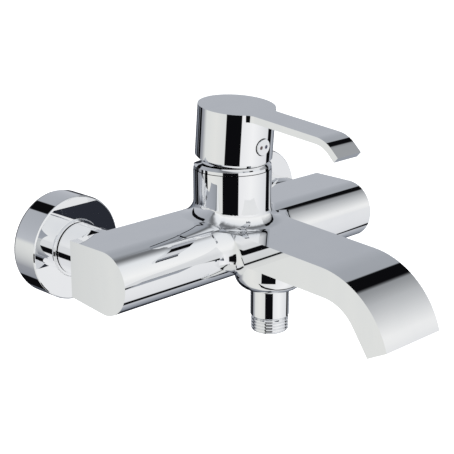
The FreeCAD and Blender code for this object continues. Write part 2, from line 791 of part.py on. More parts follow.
def make_cartridge():
    at = (0, axis_y, 0)
    rings = [
        (port_place(angle)[0], axis_y + port_place(angle)[1], s.seat_height,
         s.disc_port + s.seal_squash, s.disc_port + s.slip_fit, s.seal_squash)
        for angle in PORTS.values()
    ]
    tubes("port_seals", rings, "up")

    base = turned("cartridge_base", [
        (0, s.seat_height + s.slip_fit),
        (s.cartridge_radius, s.seat_height + s.slip_fit),
        (s.cartridge_radius, base_top),
        (0, base_top),
    ], at)
    for word, angle in PORTS.items():
        x, y = port_place(angle)
        drill(base, word + "_way", s.disc_port, s.base_thick + s.slip_fit, (x, y, s.seat_height))
        drill(base, word + "_seal_seat", s.disc_port + s.seal_squash, s.seal_squash, (x, y, s.seat_height))
    for side in (-1, 1):
        solid(base, "AdditiveCylinder", "locating_pin_%d" % (side + 2),
              (side * s.pin_circle * cosine(s.pin_angle), -s.pin_circle * sine(s.pin_angle),
               s.seat_height - s.base_pin_length),
              Radius=s.base_pin_radius, Height=s.base_pin_length + s.base_thick / 2)

    fixed = turned("fixed_disc", [
        (0, base_top),
        (cartridge_inner - s.slip_fit, base_top),
        (cartridge_inner - s.slip_fit, disc_top),
        (0, disc_top),
    ], at)
    for word, angle in PORTS.items():
        x, y = port_place(angle)
        drill(fixed, word + "_way", s.disc_port, 2 * s.disc_thick, (x, y, base_top - s.disc_thick / 2))

    slide_at = (0, axis_y + ball_shift, 0)
    moving_low = disc_top + s.running_fit
    moving_top = moving_low + s.disc_thick
    moving = turned("moving_disc", [
        (0, moving_low),
        (moving_disc_radius, moving_low),
        (moving_disc_radius, moving_top),
        (0, moving_top),
    ], slide_at)
    solid(moving, "SubtractiveBox", "mixing_cavity",
          (-port_circle, -port_circle, moving_low - s.disc_thick / 2),
          Length=2 * port_circle, Width=port_circle + s.disc_port, Height=s.disc_thick)

    carrier = turned("disc_carrier", [
        (0, moving_top),
        (carrier_radius, moving_top),
        (carrier_radius, moving_top + s.carrier_thick),
        (0, moving_top + s.carrier_thick),
    ], slide_at)
    drill(carrier, "ball_socket", s.stem_ball_radius + s.turning_gap, s.carrier_thick,
          (0, 0, moving_top + s.slip_fit))

    roof = s.shoulder_height - s.shoulder_thick
    neck_bore = s.swivel_radius + s.slip_fit
    turned("cartridge_housing", [
        (cartridge_inner, base_top),
        (s.cartridge_radius, base_top),
        (s.cartridge_radius, s.shoulder_height),
        (s.neck_radius, s.shoulder_height),
        (s.neck_radius, s.neck_height),
        (neck_bore, s.neck_height),
        (neck_bore, roof),
        (cartridge_inner, roof),
    ], at)

    flange_top = roof - s.slip_fit
    crown = s.pivot_height + s.swivel_crown
    swivel = turned("swivel", [
        (0, flange_top - s.swivel_flange),
        (cartridge_inner - s.turning_gap, flange_top - s.swivel_flange),
        (cartridge_inner - s.turning_gap, flange_top),
        (s.swivel_radius, flange_top),
        (s.swivel_radius, crown),
        (0, crown),
    ], at)
    slot_x = s.stem_width / 2 + s.slip_fit
    reach = s.pivot_height - flange_top + s.swivel_flange
    slot_y = s.stem_width / 2 + reach * sine(s.lift_angle - s.handle_tilt) + s.working_gap
    solid(swivel, "SubtractiveBox", "stem_slot", (-slot_x, -slot_y, flange_top - 2 * s.swivel_flange),
          Length=2 * slot_x, Width=2 * slot_y, Height=s.pivot_height)
    drill(swivel, "pin_bore", s.stem_pin_radius, 2 * s.swivel_radius, (-s.swivel_radius, 0, s.pivot_height),
          "right")
    ring_half = s.swivel_radius - s.working_gap
    turned("stem_pin", [
        (0, -ring_half),
        (s.stem_pin_radius, -ring_half),
        (s.stem_pin_radius, ring_half),
        (0, ring_half),
    ], pivot, "right")

    stem = new_body("stem", pivot, tilt=s.handle_tilt)
    half = s.stem_width / 2
    head = s.stem_head / 2
    head_low = s.swivel_crown + s.working_gap + head * sine(s.lift_angle - s.handle_tilt)
    solid(stem, "AdditiveSphere", "ball", (0, 0, -s.stem_arm), Radius=s.stem_ball_radius)
    solid(stem, "AdditiveCylinder", "arm", (0, 0, -s.stem_arm),
          Radius=s.stem_ball_radius - s.turning_gap, Height=s.stem_arm)
    solid(stem, "AdditiveBox", "cheek", (-half, -half, -s.stem_width), Length=s.stem_width,
          Width=s.stem_width, Height=s.stem_width + head_low)
    solid(stem, "AdditiveBox", "square", (-head, -head, head_low), Length=s.stem_head,
          Width=s.stem_head, Height=s.stem_top - head_low)
    drill(stem, "pin_bore", s.stem_pin_radius + s.running_fit, s.stem_head, (-head, 0, 0), "right")

    nut_top = nut_seat + s.nut_height
    nut = turned("cartridge_nut", [
        (s.nut_bore, nut_seat),
        (nut_thread_radius, nut_seat),
        (nut_thread_radius, nut_top),
        (s.nut_bore, nut_top),
    ], at)
    notch = solid(nut, "SubtractiveBox", "notch",
                  (s.nut_bore - s.nut_notch, -s.nut_notch, nut_top - s.nut_notch),
                  Length=3 * s.nut_notch, Width=2 * s.nut_notch, Height=2 * s.nut_notch)
    pattern(nut, "PolarPattern", "notches", [notch], Occurrences=4)

    top = collar_low + s.collar_height
    inner_ring = collar_radius - s.collar_ring
    bore = s.swivel_radius + s.slip_fit / 2
    collar = turned("turret_collar", [
        (bore, collar_low),
        (collar_radius, collar_low),
        (collar_radius, collar_low + s.collar_straight),
        (collar_radius - s.collar_chamfer, top),
        (inner_ring, top),
        (inner_ring, collar_low + s.collar_web),
        (bore, collar_low + s.collar_web),
    ], at)
    # The back of the collar falls away under the handle when the lever is right up
    back = s.lift_angle - s.handle_tilt
    reach = s.handle_bottom - s.working_gap
    wide = 2 * collar_radius
    solid(collar, "SubtractiveBox", "back_relief",
          (-wide / 2, reach * sine(back) - wide * cosine(back) / 2,
           s.pivot_height + reach * cosine(back) + wide * sine(back) / 2),
          tilt=-back, Length=wide, Width=wide, Height=wide)


def make_handle():
    handle = new_body("handle", pivot, tilt=s.handle_tilt)
    solid(handle, "AdditiveCylinder", "cap", (0, 0, s.handle_bottom),
          Radius=handle_radius, Height=s.handle_top - s.handle_bottom)
    dress(handle, "Chamfer", "rim_chamfer", lambda point: near(point.z, s.handle_bottom), s.handle_chamfer)
    top = s.handle_top
    low = top - s.lever_thick
    bend = s.lever_bend_radius
    angle = s.lever_bend_angle
    down = (-s.lever_straight - bend * sine(angle), top - bend + bend * cosine(angle))
    tip = (down[0] - s.lever_tip_run * cosine(angle), down[1] - s.lever_tip_run * sine(angle))
    across_lip = (s.lever_thick * sine(angle), -s.lever_thick * cosine(angle))
    across(handle, "lever", [
        (0, top),
        (-s.lever_straight, top, bend, 1),
        down,
        tip,
        (tip[0] + across_lip[0], tip[1] + across_lip[1]),
        (down[0] + across_lip[0], down[1] + across_lip[1], bend - s.lever_thick, -1),
        (-s.lever_straight, low),
        (0, low),
    ], s.lever_width)

    def lever_root(point):
        on_side = near(abs(point.x), s.lever_width / 2)
        return on_side and near(math.hypot(point.x, point.y), handle_radius) and point.y < 0

    dress(handle, "Fillet", "lever_root", lever_root, s.lever_fillet)
    cavity = handle_radius - s.handle_wall
    roof = top - s.handle_roof - s.lever_thick
    drill(handle, "cavity", cavity, roof - s.handle_bottom, (0, 0, s.handle_bottom))
    solid(handle, "AdditiveCylinder", "hub", (0, 0, s.hub_bottom), Radius=s.hub_radius,
          Height=roof - s.hub_bottom + s.handle_roof / 2)
    half = s.stem_head / 2 + s.slip_fit
    socket_low = s.hub_bottom - s.working_gap
    solid(handle, "SubtractiveBox", "stem_socket", (-half, -half, socket_low), Length=2 * half,
          Width=2 * half, Height=s.stem_top + s.working_gap - socket_low)
    drill(handle, "grub_thread", s.grub_radius + s.thread_fit, s.hub_radius, (0, 0, s.index_height), "room")
    drill(handle, "index_seat", s.index_radius + s.thread_fit, s.handle_wall + handle_radius / 2,
          (0, -handle_radius / 2, s.index_height), "room")

    grub = new_body("grub_screw", pivot, tilt=s.handle_tilt)
    start = s.stem_head / 2
    solid(grub, "AdditiveCylinder", "thread", (0, -start, s.index_height), "room",
          Radius=s.grub_radius, Height=s.grub_length)
    solid(grub, "SubtractivePrism", "key_socket", (0, -start - s.grub_length / 2, s.index_height), "room",
          Polygon=6, Circumradius=s.grub_key_radius, Height=s.grub_length)

    face = handle_radius + s.index_proud
    plug = new_body("index_plug", pivot, tilt=s.handle_tilt)
    solid(plug, "AdditiveCylinder", "disc", (0, -face + s.index_length, s.index_height), "room",
          Radius=s.index_radius, Height=s.index_length)
    for side in (-1, 1):
        drill(plug, "mark_seat_%d" % (side + 2), s.mark_radius, 2 * s.mark_depth,
              (side * s.mark_apart, -face + s.mark_depth, s.index_height), "room")
    for side, word in ((-1, "hot"), (1, "cold")):
        mark = new_body(word + "_mark", pivot, tilt=s.handle_tilt)
        solid(mark, "AdditiveCylinder", "enamel", (side * s.mark_apart, -face + s.mark_depth, s.index_height),
              "room", Radius=s.mark_radius, Height=s.mark_thick)


def make_flow_insert():
    at = mouth_place()
    depth = s.insert_setback
    insert = new_body("flow_insert", at, tilt=-s.mouth_angle)
    solid(insert, "AdditiveBox", "block", (-s.insert_width / 2, -s.insert_thick / 2, depth),
          Length=s.insert_width, Width=s.insert_thick, Height=s.insert_depth)
    pitch = s.insert_cell_width + s.insert_rib
    first = -pitch * (s.insert_columns - 1) / 2 - s.insert_cell_width / 2
    cells = []
    for side in (-1, 1):
        low = side * (s.insert_cell_height + s.insert_rib) / 2 - s.insert_cell_height / 2
        cells.append(solid(insert, "SubtractiveBox", "cell_%d" % (side + 2), (first, low, 0),
                           Length=s.insert_cell_width, Width=s.insert_cell_height,
                           Height=2 * s.insert_depth))
    pattern(insert, "LinearPattern", "cells", cells, Length=pitch * (s.insert_columns - 1),
            Occurrences=s.insert_columns)

    seal = new_body("flow_insert_seal", at, tilt=-s.mouth_angle)
    back = depth + s.insert_depth
    solid(seal, "AdditiveBox", "frame", (-s.insert_width / 2, -s.insert_thick / 2, back),
          Length=s.insert_width, Width=s.insert_thick, Height=s.insert_seal_thick)
    edge = s.insert_rib
    solid(seal, "SubtractiveBox", "opening",
          (edge - s.insert_width / 2, edge - s.insert_thick / 2, back - s.insert_seal_thick),
          Length=s.insert_width - 2 * edge, Width=s.insert_thick - 2 * edge,
          Height=3 * s.insert_seal_thick)


def make_shower_outlet():
    at = (0, outlet_y, 0)
    spigot = s.socket_radius - s.thread_fit
    groove = spigot - s.seal_groove
    groove_low = outlet_top + s.seal_setback
    groove_high = groove_low + s.seal_groove + 2 * s.slip_fit
    spigot_top = outlet_top + s.socket_depth - s.slip_fit
    sleeve_end = outlet_top - s.outlet_sleeve
    turned("shower_outlet", [
        (s.outlet_throat_radius, spigot_top),
        (spigot, spigot_top),
        (spigot, groove_high),
        (groove, groove_high),
        (groove, groove_low),
        (spigot, groove_low),
        (spigot, outlet_top),
        (s.outlet_sleeve_radius, outlet_top),
        (s.outlet_sleeve_radius, sleeve_end),
        (s.outlet_relief_radius, sleeve_end - s.outlet_sleeve_radius + s.outlet_relief_radius),
        (s.outlet_relief_radius, thread_top),
        (s.outlet_thread_radius, thread_top),
        (s.outlet_thread_radius, outlet_end + s.outlet_bevel),
        (s.outlet_thread_radius - s.outlet_bevel, outlet_end),
        (s.outlet_bore_radius, outlet_end),
        (s.outlet_bore_radius, check_top),
        (s.outlet_throat_radius, check_top),
    ], at)
    ring("shower_outlet_seal", spigot, groove, groove_low + s.slip_fit, groove_high - s.slip_fit, at)

    outer = s.outlet_bore_radius - s.thread_fit
    inner = outer - s.check_wall
    seat = check_top - s.check_seat
    housing = turned("check_valve_housing", [
        (inner, check_bottom),
        (outer, check_bottom),
        (outer, check_top),
        (s.check_throat, check_top),
        (s.check_throat, seat),
        (inner, seat),
    ], at)
    guide = s.poppet_stem + s.slip_fit
    solid(housing, "AdditiveBox", "web", (-outer + s.check_wall / 2, -s.check_web, check_bottom),
          Length=2 * outer - s.check_wall, Width=2 * s.check_web, Height=s.check_web)
    solid(housing, "AdditiveCylinder", "guide", (0, 0, check_bottom),
          Radius=s.spring_radius + s.check_wall, Height=s.check_web)
    drill(housing, "guide_bore", guide, 3 * s.check_web, (0, 0, check_bottom - s.check_web))

    head_top = seat - s.running_fit
    head_low = head_top - s.poppet_head
    turned("check_valve_poppet", [
        (0, check_bottom + s.slip_fit),
        (s.poppet_stem, check_bottom + s.slip_fit),
        (s.poppet_stem, head_low),
        (s.poppet_radius, head_low),
        (s.poppet_radius, head_top),
        (s.check_throat - s.turning_gap, head_top),
        (s.poppet_stem, head_top + s.check_seat / 2),
        (0, head_top + s.check_seat / 2),
    ], at)

    spring_low = check_bottom + s.check_web + s.spring_wire
    turns_height = head_low - spring_low - s.spring_wire
    helix = doc.addObject("Part::Helix", "spring_line")
    bind(helix, "Pitch", s.spring_pitch)
    bind(helix, "Height", turns_height)
    bind(helix, "Radius", s.spring_radius)
    wire = doc.addObject("Part::Circle", "spring_wire")
    bind(wire, "Radius", s.spring_wire)
    place(wire, (s.spring_radius, 0, 0), "wall")
    spring = doc.addObject("Part::Sweep", "check_valve_spring")
    spring.Label = "check_valve_spring"
    spring.Sections = [wire]
    spring.Spine = (helix, ["Edge1"])
    spring.Solid = True
    spring.Frenet = True
    place(spring, (0, outlet_y, spring_low))
    sub_parts.append(spring)


def make_diverter():
    at = (0, outlet_y, -s.diverter_drop)
    radius = s.plug_radius - s.running_fit
    groove = radius - s.seal_groove
    seal_starts = (-s.port_radius - 2 * s.seal_groove, s.port_radius + s.seal_groove)
    corners = [(0, -s.plug_far_end), (radius, -s.plug_far_end)]
    for start in seal_starts:
        corners += [(radius, start), (groove, start)]
        corners += [(groove, start + s.seal_groove), (radius, start + s.seal_groove)]
    stem_end = knob_start + s.knob_length - s.knob_hub
    corners += [
        (radius, s.plug_shoulder),
        (s.spindle_radius, s.plug_shoulder),
        (s.spindle_radius, stem_end),
        (s.knob_screw_radius, stem_end),
        (s.knob_screw_radius, stem_end - s.knob_hub - s.slip_fit),
        (0, stem_end - s.knob_hub - s.slip_fit),
    ]
    plug = turned("diverter_plug", corners, at, "right")
    drill(plug, "side_way", s.port_radius, 2 * radius, (0, 0, 0), "wall")
    drill(plug, "up_way", s.port_radius, 2 * radius, (0, 0, 0), "left")
    rings = [
        (start, outlet_y, -s.diverter_drop, radius, groove, s.seal_groove) for start in seal_starts
    ]
    tubes("diverter_seals", rings, "right")

    gland_start = s.plug_shoulder + s.working_gap + s.slip_fit
    gland_bore = s.spindle_radius + s.running_fit
    seal_seat = s.spindle_radius + s.seal_groove
    seal_low = gland_start + s.gland_flange
    turned("diverter_gland", [
        (gland_bore, gland_start),
        (gland_thread_radius, gland_start),
        (gland_thread_radius, s.diverter_boss_end),
        (gland_flange_radius, s.diverter_boss_end),
        (gland_flange_radius, s.diverter_boss_end + s.gland_flange),
        (gland_bore, s.diverter_boss_end + s.gland_flange),
        (gland_bore, seal_low + s.seal_groove),
        (seal_seat, seal_low + s.seal_groove),
        (seal_seat, seal_low),
        (gland_bore, seal_low),
    ], at, "right")
    ring("gland_seal", seal_seat, gland_bore, seal_low, seal_low + s.seal_groove, at, "right")

    knob_end = knob_start + s.knob_length
    knob = turned("diverter_knob", [
        (s.spindle_radius, knob_start),
        (s.knob_radius, knob_start),
        (s.knob_radius, knob_end - s.knob_chamfer),
        (s.knob_radius - s.knob_chamfer, knob_end),
        (s.knob_screw_head + s.slip_fit, knob_end),
        (s.knob_screw_head + s.slip_fit, stem_end + s.knob_web),
        (s.knob_screw_radius + s.slip_fit, stem_end + s.knob_web),
        (s.knob_screw_radius + s.slip_fit, stem_end),
        (s.spindle_radius, stem_end),
    ], at, "right")
    for side in (-1, 1):
        low = s.knob_grip / 2 if side > 0 else -s.knob_grip / 2 - s.knob_radius
        solid(knob, "SubtractiveBox", "grip_%d" % (side + 2), (-s.knob_radius, low, knob_start + s.knob_hub),
              Length=2 * s.knob_radius, Width=s.knob_radius, Height=s.knob_length)

    head = stem_end + s.knob_web
    screw = turned("knob_screw", [
        (0, stem_end - s.knob_hub),
        (s.knob_screw_radius, stem_end - s.knob_hub),
        (s.knob_screw_radius, head),
        (s.knob_screw_head, head),
        (s.knob_screw_head, head + s.knob_screw_radius),
        (0, head + s.knob_screw_radius),
    ], at, "right")
    solid(screw, "SubtractiveBox", "slot",
          (-s.knob_screw_head, -s.screw_slot / 2, head + s.knob_screw_radius - s.screw_slot),
          Length=2 * s.knob_screw_head, Width=s.screw_slot, Height=s.knob_screw_head)


make_casting()
for side, word in ((-1, "left"), (1, "right")):
    make_wall_side(side, word)
make_cartridge()
make_handle()
make_flow_insert()
make_shower_outlet()
make_diverter()
doc.recompute()

faults = []
for thing in doc.Objects:
    if "Invalid" in thing.State or "Error" in thing.State:
        faults.append("%s: %s" % (thing.Label, thing.State))
for sub_part in sub_parts:
    if sub_part.Shape.isNull() or not sub_part.Shape.isValid() or not sub_part.Shape.Solids:
        faults.append("%s has no valid shape" % sub_part.Label)
if faults:
    raise RuntimeError("; ".join(faults))

os.makedirs("parts", exist_ok=True)
for sub_part in sub_parts:
    sub_part.Shape.exportStep("parts/%s.step" % sub_part.Label)
    box = sub_part.Shape.BoundBox
    spans = [box.XMin, box.XMax, box.YMin, box.YMax, box.ZMin, box.ZMax]
    print(sub_part.Label, len(sub_part.Shape.Solids), round(sub_part.Shape.Volume, 1),
          [round(value, 2) for value in spans])
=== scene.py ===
import json
import math

import bpy
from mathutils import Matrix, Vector


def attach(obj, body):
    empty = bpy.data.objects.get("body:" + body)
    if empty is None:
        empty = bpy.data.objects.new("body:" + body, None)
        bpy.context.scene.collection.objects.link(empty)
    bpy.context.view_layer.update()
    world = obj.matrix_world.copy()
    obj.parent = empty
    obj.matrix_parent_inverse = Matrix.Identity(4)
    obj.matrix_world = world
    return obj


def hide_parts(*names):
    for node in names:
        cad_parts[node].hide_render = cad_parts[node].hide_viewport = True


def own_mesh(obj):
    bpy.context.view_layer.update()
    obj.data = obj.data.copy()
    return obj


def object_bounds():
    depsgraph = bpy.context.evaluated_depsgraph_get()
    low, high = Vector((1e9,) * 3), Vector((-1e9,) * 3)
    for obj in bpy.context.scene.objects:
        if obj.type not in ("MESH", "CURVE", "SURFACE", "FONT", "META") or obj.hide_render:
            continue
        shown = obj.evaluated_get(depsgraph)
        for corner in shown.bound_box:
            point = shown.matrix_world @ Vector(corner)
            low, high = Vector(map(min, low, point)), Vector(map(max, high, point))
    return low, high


# A wall mounted single-lever bath mixer in polished chrome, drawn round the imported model.
# Metres, with the wall at Y = 0, the room on its -Y side and Z up.

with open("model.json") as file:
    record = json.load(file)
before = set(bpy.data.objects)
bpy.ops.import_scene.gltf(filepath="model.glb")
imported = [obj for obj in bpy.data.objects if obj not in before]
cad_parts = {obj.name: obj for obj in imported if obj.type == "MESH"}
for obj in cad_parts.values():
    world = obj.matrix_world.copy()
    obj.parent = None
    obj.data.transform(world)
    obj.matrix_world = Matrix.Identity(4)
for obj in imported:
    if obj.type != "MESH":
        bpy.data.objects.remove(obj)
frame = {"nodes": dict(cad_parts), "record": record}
cad_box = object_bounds()
scene = bpy.context.scene
MM = 0.001


# ---------------------------------------------------------------- shader maths

class Socket:
    """A node's output, so that shader maths reads as ordinary expressions."""

    def __init__(self, tree, link):
        self.tree, self.link = tree, link

    def math(self, operation, *values):
        sockets = dict(enumerate((self, *values)))
        return make_node(self.tree, "ShaderNodeMath", sockets, operation=operation)

    def __add__(self, other):
        return self.math("ADD", other)

    def __sub__(self, other):
        return self.math("SUBTRACT", other)

    def __mul__(self, other):
        return self.math("MULTIPLY", other)

    def __truediv__(self, other):
        return self.math("DIVIDE", other)

    def __rsub__(self, other):
        return make_node(self.tree, "ShaderNodeMath", {0: other, 1: self}, operation="SUBTRACT")

    __radd__ = __add__
    __rmul__ = __mul__

    def step(self, low, high):
        """0 below low and 1 above high, with a soft step between; reversed where low is above high."""
        sockets = {"Value": self, "From Min": min(low, high), "From Max": max(low, high)}
        rise = make_node(self.tree, "ShaderNodeMapRange", sockets, interpolation_type="SMOOTHSTEP")
        return rise if low < high else 1 - rise

    def between(self, low, high, soft):
        """1 between low and high, with soft edges."""
        return self.step(low - soft, low + soft) * self.step(high + soft, high - soft)


def make_node(tree, kind, sockets=None, output=0, stops=None, **settings):
    """Any node: its settings and its ramp's stops, then its sockets' values or links by name or number."""
    node = tree.nodes.new(kind)
    for name, value in settings.items():
        setattr(node, name, value)
    if stops:
        elements = node.color_ramp.elements
        while len(elements) < len(stops):
            elements.new(1.0)
        for element, (position, colour) in zip(elements, stops):
            element.position = position
            element.color = (*colour, 1.0)
    for name, value in (sockets or {}).items():
        connect(tree, value, node.inputs[name])
    return Socket(tree, node.outputs[output])


def connect(tree, value, target):
    if isinstance(value, Socket):
        tree.links.new(value.link, target)
    elif target.type == "RGBA":
        target.default_value = (*value, 1.0)
    else:
        target.default_value = value


class Finish:
    """A material being made: a Principled shader, the piece's own coordinates, and what feeds it."""

    def __init__(self, name, colour, roughness, metallic=0.0, **constants):
        self.material = bpy.data.materials.new(name)
        self.material.use_nodes = True
        self.tree = self.material.node_tree
        self.shader = self.tree.nodes["Principled BSDF"]
        self.feed(Base_Color=colour, Roughness=roughness, Metallic=metallic, **constants)
        self.place = self.node("ShaderNodeTexCoord", output="Object")

    def node(self, kind, sockets=None, output=0, **settings):
        return make_node(self.tree, kind, sockets, output, **settings)

    def feed(self, **values):
        for name, value in values.items():
            connect(self.tree, value, self.shader.inputs[name.replace("_", " ")])

    def noise(self, scale, detail=2.0, place=None):
        sockets = {"Vector": place or self.place, "Scale": scale, "Detail": detail}
        return self.node("ShaderNodeTexNoise", sockets)

    def stretched(self, x, y, z):
        return self.node("ShaderNodeMapping", {"Vector": self.place, "Scale": (x, y, z)})

    def blend(self, amount, low, high):
        return self.node("ShaderNodeMix", {0: amount, 6: low, 7: high}, 2, data_type="RGBA")

    def bump(self, height, strength, distance):
        sockets = {"Height": height, "Strength": strength, "Distance": distance}
        self.feed(Normal=self.node("ShaderNodeBump", sockets))


# ---------------------------------------------------------------- finishes

def chrome_plate():
    """Bright chrome over polished brass: a cool tint, faint wipe marks and a very slight polishing wave."""
    finish = Finish("chrome_plate", (0.86, 0.87, 0.885), 0.03, 1.0)
    smear = finish.noise(38, 4.0, finish.stretched(1.0, 2.2, 0.6))
    haze = finish.noise(210, 3.0)
    finish.feed(Roughness=0.012 + smear.step(0.45, 0.8) * 0.03 + haze.step(0.5, 0.9) * 0.015)
    finish.feed(Base_Color=finish.blend(smear, (0.84, 0.85, 0.87), (0.90, 0.905, 0.91)))
    finish.bump(finish.noise(24, 1.0), 0.02, 0.0004)
    return finish.material


def cut_brass():
    """Turned brass: warm, with fine tool lines and a little tarnish."""
    finish = Finish("cut_brass", (0.66, 0.47, 0.2), 0.3, 1.0)
    tarnish = finish.noise(160, 5.0)
    lines = finish.noise(900, 2.0, finish.stretched(0.1, 6.0, 0.1))
    finish.feed(Base_Color=finish.blend(tarnish.step(0.35, 0.75), (0.72, 0.53, 0.25), (0.5, 0.35, 0.15)))
    finish.feed(Roughness=0.2 + tarnish * 0.22)
    finish.bump(lines, 0.25, 0.00003)
    return finish.material


def bright_steel():
    finish = Finish("bright_steel", (0.6, 0.6, 0.61), 0.25, 1.0)
    grain = finish.noise(1200, 3.0, finish.stretched(1.0, 0.15, 1.0))
    finish.feed(Roughness=0.17 + grain * 0.2)
    finish.bump(grain, 0.15, 0.00002)
    return finish.material


def black_rubber():
    finish = Finish("black_rubber", (0.02, 0.02, 0.021), 0.6, IOR=1.5)
    bloom = finish.noise(520, 5.0)
    finish.feed(Base_Color=finish.blend(bloom.step(0.4, 0.8), (0.014, 0.014, 0.015), (0.045, 0.045, 0.047)))
    finish.feed(Roughness=0.5 + bloom * 0.25)
    finish.bump(bloom, 0.3, 0.00004)
    return finish.material


def foam_ring():
    finish = Finish("foam_ring", (0.07, 0.07, 0.075), 0.9)
    cells = finish.node("ShaderNodeTexVoronoi", {"Vector": finish.place, "Scale": 1900.0})
    finish.feed(Base_Color=finish.blend(cells, (0.11, 0.11, 0.115), (0.03, 0.03, 0.033)))
    finish.bump(cells, 0.8, 0.0001)
    return finish.material


def moulded_plastic(name, light, dark, roughness):
    """Moulded plastic with a slight mottle and an orange-peel skin."""
    finish = Finish(name, light, roughness, IOR=1.48)
    mottle = finish.noise(90, 4.0)
    skin = finish.noise(1500, 2.0)
    finish.feed(Base_Color=finish.blend(mottle.step(0.3, 0.8), light, dark))
    finish.feed(Roughness=roughness + skin * 0.12)
    finish.bump(skin, 0.12, 0.00003)
    return finish.material


def lapped_ceramic():
    finish = Finish("lapped_ceramic", (0.86, 0.855, 0.83), 0.12, IOR=1.76, Coat_Roughness=0.05)
    speck = finish.noise(2400, 4.0)
    finish.feed(Base_Color=finish.blend(speck.step(0.62, 0.75), (0.88, 0.87, 0.845), (0.78, 0.77, 0.74)))
    finish.feed(Roughness=0.08 + speck * 0.1, Coat_Weight=0.5)
    return finish.material


def enamel(name, deep, bright):
    """Enamel run into a small sunk dot, a shade darker where it is thick."""
    finish = Finish(name, deep, 0.12, Coat_Roughness=0.03)
    pool = finish.noise(800, 2.0)
    finish.feed(Base_Color=finish.blend(pool, deep, bright), Coat_Weight=1.0)
    return finish.material


FINISHES = {
    "chrome": chrome_plate(),
    "brass": cut_brass(),
    "steel": bright_steel(),
    "rubber": black_rubber(),
    "foam": foam_ring(),
    "cartridge_plastic": moulded_plastic("acetal", (0.84, 0.83, 0.79), (0.77, 0.755, 0.71), 0.38),
    "ceramic": lapped_ceramic(),
    "insert_plastic": moulded_plastic("grey_insert", (0.5, 0.515, 0.53), (0.42, 0.435, 0.45), 0.42),
    "hot_enamel": enamel("hot_enamel", (0.022, 0.003, 0.003), (0.05, 0.006, 0.005)),
    "cold_enamel": enamel("cold_enamel", (0.003, 0.004, 0.02), (0.004, 0.008, 0.05)),
}
NODE_SLOT = {row["node"]: row["material_slot"] for row in frame["record"]["subparts"]}
NODE_BODY = {node: body for body, nodes in frame["record"]["behaviour"]["bodies"].items() for node in nodes}

for node, thing in frame["nodes"].items():
    thing.data.materials.clear()
    thing.data.materials.append(FINISHES[NODE_SLOT[node]])


# ---------------------------------------------------------------- modelling

def alone(*things):
    """Select only these objects, the first one active."""
    if bpy.context.object and bpy.context.object.mode != "OBJECT":
        bpy.ops.object.mode_set(mode="OBJECT")
    bpy.ops.object.select_all(action="DESELECT")
    for thing in things:
        thing.select_set(True)
    bpy.context.view_layer.objects.active = things[0]
    return things[0]


def edit(thing):
    alone(thing)
    bpy.ops.object.mode_set(mode="EDIT")
    bpy.ops.mesh.select_all(action="SELECT")


def done():
    bpy.ops.object.mode_set(mode="OBJECT")


def modifier(thing, kind, **settings):
    """Add a modifier, set it up and apply it."""
    alone(thing)
    added = thing.modifiers.new(kind.lower(), kind)
    for name, value in settings.items():
        setattr(added, name, value)
    bpy.ops.object.modifier_apply(modifier=added.name)
    return thing


def combine(thing, tool, operation):
    """A boolean whose tool is used up."""
    modifier(thing, "BOOLEAN", object=tool, operation=operation, solver="EXACT")
    bpy.data.objects.remove(tool)
    return thing


def softened(thing, edge, segments=3, angle=28):
    """Round the sharp edges a little and shade the rest as one smooth skin."""
    alone(thing)
    bpy.ops.object.shade_smooth()
    if edge:
        modifier(thing, "BEVEL", width=edge, segments=segments, limit_method="ANGLE",
                 angle_limit=math.radians(angle), harden_normals=True, miter_outer="MITER_ARC")
    modifier(thing, "WEIGHTED_NORMAL", mode="FACE_AREA", weight=60, keep_sharp=True)
    return thing


def finished(piece, *nodes):
    """Give a piece its nodes' finish and body, and let it stand for them."""
    slot = NODE_SLOT[nodes[0]]
    piece.data.materials.clear()
    piece.data.materials.append(FINISHES[slot])
    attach(piece, NODE_BODY[nodes[0]])
    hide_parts(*nodes)
    return piece


def merged_copy(node, name):
    """A copy of a node's mesh with its loose triangles joined and its flat faces made whole."""
    piece = bpy.data.objects.new(name, frame["nodes"][node].data.copy())
    scene.collection.objects.link(piece)
    edit(piece)
    bpy.ops.mesh.customdata_custom_splitnormals_clear()
    bpy.ops.mesh.remove_doubles(threshold=0.002 * MM)
    bpy.ops.mesh.dissolve_limited(angle_limit=math.radians(0.05))
    done()
    return piece


def polished(node, edge, segments=3):
    """A node redrawn with its edges broken as polishing leaves them."""
    return finished(softened(merged_copy(node, node + "_polished"), edge, segments), node)


def thread_cutter(turns, start, name):
    """A V-shaped ridge wound upward from a starting height, to cut a G 1/2 thread about the Z axis."""
    across, deep = GROOVE_WIDTH / TRIANGLE_SIDE, GROOVE_DEPTH / TRIANGLE_HEIGHT
    bpy.ops.mesh.primitive_circle_add(vertices=3, radius=1, fill_type="NGON",
                                      location=(THREAD_ROOT + deep, 0, start),
                                      rotation=(math.pi / 2, -math.pi / 2, 0))
    cutter = bpy.context.object
    cutter.name = name
    cutter.scale = (across, deep, 1)
    bpy.ops.object.transform_apply(location=True, rotation=True, scale=True)
    edit(cutter)
    bpy.ops.mesh.delete(type="ONLY_FACE")
    done()
    modifier(cutter, "SCREW", axis="Z", screw_offset=THREAD_PITCH, iterations=turns,
             steps=THREAD_STEPS, render_steps=THREAD_STEPS)
    edit(cutter)
    bpy.ops.mesh.fill_holes(sides=0)
    bpy.ops.mesh.normals_make_consistent(inside=False)
    done()
    return cutter


def threaded(node, cutter):
    """A node with its thread cut in."""
    piece = combine(merged_copy(node, node + "_threaded"), cutter, "DIFFERENCE")
    return finished(softened(piece, THREAD_EDGE, 2, 40), node)


